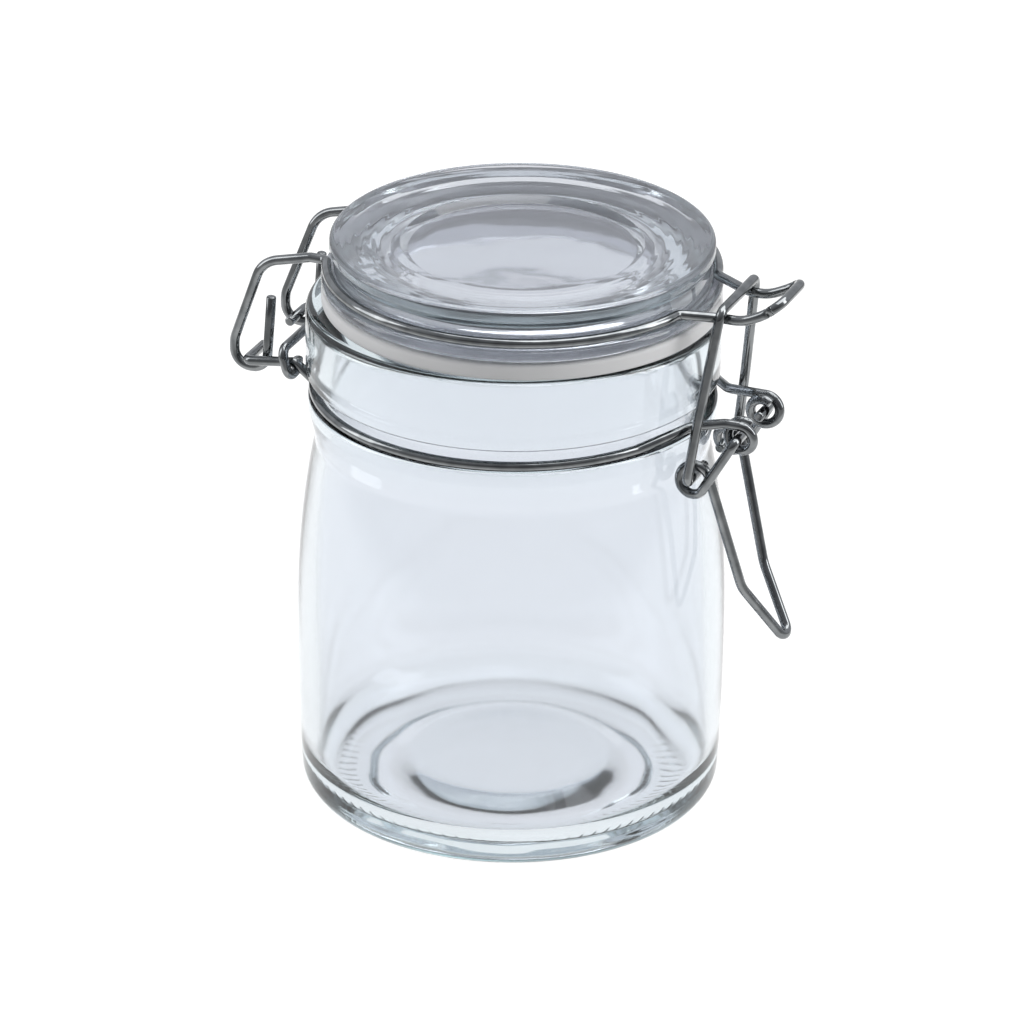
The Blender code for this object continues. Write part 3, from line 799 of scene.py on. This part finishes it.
def neck_wire_path():
    """From the hinge pin, in along the bar, round one side of the groove and out to the front eye."""
    path = [
        (point(HINGE_X, -PIN_END_Y, HINGE_Z), 0.0),
        (point(HINGE_X, -BAR_Y, HINGE_Z), PIN_BEND_R),
        (point(BAR_RISE_X, -BAR_Y, BAR_RISE_Z), BEND_R),
    ]
    path += ring_arc(0.0, NECK_RING_R, NECK_RING_Z, BAR_Y, NECK_LEAVE_Y)
    path += [
        (point(NECK_RUN_X, -NECK_RUN_Y, NECK_RUN_Z), EYE_RUN_BEND_R),
        (point(EYE_RUN_X, -EYE_Y, LEVER_Z + LEVER_EYE_R), EYE_RUN_BEND_R),
    ]
    eye = point(LEVER_X, -EYE_Y, LEVER_Z)
    path += coil(eye, LEVER_EYE_R, math.pi / 2, -2 * math.pi * EYE_TURNS, WIRE_PITCH * EYE_TURNS)
    return path


def tie_half():
    """From a cut end, round under the bar from its inside, then over towards the middle."""
    slope = (BAR_RISE_Z - HINGE_Z) / (BAR_RISE_X - HINGE_X)
    bar_z = HINGE_Z + slope * (TIE_X - HINGE_X)
    inner_y = -(BAR_Y - LOOP_R)
    outer_y = -(BAR_Y + LOOP_R)
    return [
        (point(TIE_FOOT_X, inner_y, TIE_END_Z), 0.0),
        (point(TIE_FOOT_X, inner_y, bar_z - LOOP_R), TIE_LOOP_R),
        (point(TIE_FOOT_X, outer_y, bar_z - LOOP_R), TIE_LOOP_R),
        (point(TIE_X, outer_y, TIE_Z), TIE_LOOP_R),
    ]


def tangent_angle(centre, outside, side):
    """Angle on the lever's coil at which a line from an outside point touches it, in the XZ plane."""
    run = outside - centre
    spread = math.acos(COIL_R / math.hypot(run.x, run.z))
    return math.atan2(run.z, run.x) + side * spread


def handle_apex(bend, tip):
    """Where the two sides of the handle would meet, so that their rounded end stops at the tip."""
    run = tip - bend
    to_centre = run.length - HANDLE_TIP_R
    slant = math.atan2(HANDLE_BEND_Y, to_centre)
    slant -= math.asin(HANDLE_TIP_R / math.hypot(HANDLE_BEND_Y, to_centre))
    return bend + run.normalized() * HANDLE_BEND_Y / math.tan(slant)


def lever_path():
    """From the stub in an eye, down the arm, round the coil and along the handle, then back the same way."""
    pivot = point(LEVER_X, 0.0, LEVER_Z)
    bend = point(HANDLE_BEND_X, 0.0, HANDLE_BEND_Z)
    tip = point(HANDLE_TIP_X, 0.0, HANDLE_TIP_Z)
    centre = point(LINK_X, 0.0, LINK_Z - LINK_SEAT)
    arriving = tangent_angle(centre, pivot, -1)
    leaving = tangent_angle(centre, bend, 1) - 2 * math.pi
    side = [
        (point(LEVER_X, -LEVER_STUB_Y, LEVER_Z), 0.0),
        (point(LEVER_X, -ARM_PLANE_Y, LEVER_Z), TIGHT_BEND_R),
    ]
    side += coil(centre - Vector((0.0, COIL_Y, 0.0)), COIL_R, arriving, leaving - arriving, WIRE_PITCH)
    side.append((bend - Vector((0.0, HANDLE_BEND_Y, 0.0)), HANDLE_BEND_R))
    return side + [(handle_apex(bend, tip), HANDLE_TIP_R)] + mirrored(side)[::-1]


def link_half():
    """From the stub in the lever's coil, up the bowed leg to the bar."""
    foot = point(LINK_X, -LINK_FOOT_Y, LINK_Z)
    head = point(BAR_X, -LINK_BAR_Y, BAR_Z)
    bow = foot.lerp(head, LINK_BOW_AT)
    bow.y = -LINK_BOW_Y
    return [
        (point(LINK_X, -LINK_STUB_Y, LINK_Z), 0.0),
        (foot, TIGHT_BEND_R),
        (bow, LINK_BOW_R),
        (head, LINK_BAR_BEND_R),
    ]


WIRES = [
    ("lid_bail", bridged(lid_wire_half()), "lid", "lid_wire", "lid_wire_steel"),
    ("neck_bail_near", neck_wire_path(), "jar", "neck_wire_near", "neck_wire_near_steel"),
    ("neck_bail_far", mirrored(neck_wire_path()), "jar", "neck_wire_far", "neck_wire_far_steel"),
    ("rear_tie", bridged(tie_half()), "jar", "rear_tie_wire", "rear_tie_steel"),
    ("lever", lever_path(), "lever", "lever_wire", "lever_steel"),
    ("link", bridged(link_half()), "link", "link_wire", "link_steel"),
]
for wire_name, path, body, node, slot_name in WIRES:
    wire(wire_name, path, steel_wire, body, node)


# Studio


def floor_white(name):
    """Pale floor with a wide painted pool of light that fades out in front of the jar and beyond the
    picture; the pool is the floor's own glow, not lamplight.
    """
    mat, nodes, links, shader = new_material(name)
    shader.inputs["Base Color"].default_value = (0.10, 0.10, 0.10, 1.0)
    shader.inputs["Roughness"].default_value = 0.9
    shader.inputs["Emission Color"].default_value = (1.0, 1.0, 1.0, 1.0)
    place = nodes.new("ShaderNodeTexCoord")
    away = nodes.new("ShaderNodeVectorMath")
    away.operation = "DISTANCE"
    away.inputs[1].default_value = POOL_CENTRE
    links.new(place.outputs["Object"], away.inputs[0])
    ends = (POOL_INNER_R, POOL_OUTER_R)
    # Painted pool of light: the floor glows at full strength inside the pool and more dimly outside it
    fade = ranged(nodes, links, away.outputs["Value"], ends, (POOL_LIGHT, FLOOR_LIGHT))
    fade.interpolation_type = "SMOOTHSTEP"
    links.new(fade.outputs["Result"], shader.inputs["Emission Strength"])
    return mat


def floor_plane():
    corners = [(-1, -1), (1, -1), (1, 1), (-1, 1)]
    mesh = bpy.data.meshes.new("floor")
    mesh.from_pydata([(x * FLOOR_HALF, y * FLOOR_HALF, FLOOR_DROP) for x, y in corners], [], [(0, 1, 2, 3)])
    mesh.materials.append(floor_white("floor_white"))
    return linked(bpy.data.objects.new("floor", mesh))


def softbox(name, place, width, height, power):
    light = bpy.data.lights.new(name, "AREA")
    light.shape = "RECTANGLE"
    light.size = width
    light.size_y = height
    light.energy = power
    obj = linked(bpy.data.objects.new(name, light))
    obj.location = place
    obj.rotation_euler = (Vector(SOFTBOX_AIM) - Vector(place)).to_track_quat("-Z", "Y").to_euler()


def studio_world():
    """Soft grey room, brighter behind the jar than in front of it."""
    world = bpy.data.worlds.new("studio")
    world.use_nodes = True
    nodes = world.node_tree.nodes
    links = world.node_tree.links
    nodes["Background"].inputs["Color"].default_value = BACKDROP_COLOUR
    way = nodes.new("ShaderNodeTexCoord")
    forwards = nodes.new("ShaderNodeVectorMath")
    forwards.operation = "DOT_PRODUCT"
    forwards.inputs[1].default_value = FORWARDS
    links.new(way.outputs["Generated"], forwards.inputs[0])
    ends = (BACK_END, FRONT_END)
    fade = ranged(nodes, links, forwards.outputs["Value"], ends, (BACK_LIGHT, FRONT_LIGHT))
    links.new(fade.outputs["Result"], nodes["Background"].inputs["Strength"])
    return world


floor_plane()
softbox("softbox_top", (0.15, 0.25, 1.1), 1.0, 1.0, 9.0)
softbox("softbox_left", (-1.0, -0.35, 0.55), 0.5, 1.0, 4.0)
softbox("softbox_right", (0.95, 0.25, 0.6), 0.35, 0.9, 4.0)
bpy.context.scene.world = studio_world()
bpy.context.scene.view_settings.view_transform = "Standard"


# Camera


def photo_camera():
    """Camera at the photograph's viewing angle, a little rolled as in the photograph."""
    data = bpy.data.cameras.new("camera")
    data.lens = CAMERA_LENS
    data.sensor_width = SENSOR
    data.clip_end = CAMERA_REACH
    camera = linked(bpy.data.objects.new("camera", data))
    side = math.sin(CAMERA_AZIMUTH)
    back = math.cos(CAMERA_AZIMUTH)
    eye = Vector((AXIS_X + side * CAMERA_DISTANCE, -back * CAMERA_DISTANCE, CAMERA_HEIGHT))
    level = math.cos(CAMERA_PITCH)
    forward = Vector((-side * level, back * level, -math.sin(CAMERA_PITCH)))
    right = Vector((back, side, 0.0))
    down = forward.cross(right)
    tilted_right = right * math.cos(CAMERA_ROLL) + down * math.sin(CAMERA_ROLL)
    tilted_down = down * math.cos(CAMERA_ROLL) - right * math.sin(CAMERA_ROLL)
    turn = Matrix((tilted_right, -tilted_down, -forward)).transposed()
    camera.matrix_world = Matrix.Translation(eye) @ turn.to_4x4()
    return camera


bpy.context.scene.camera = photo_camera()
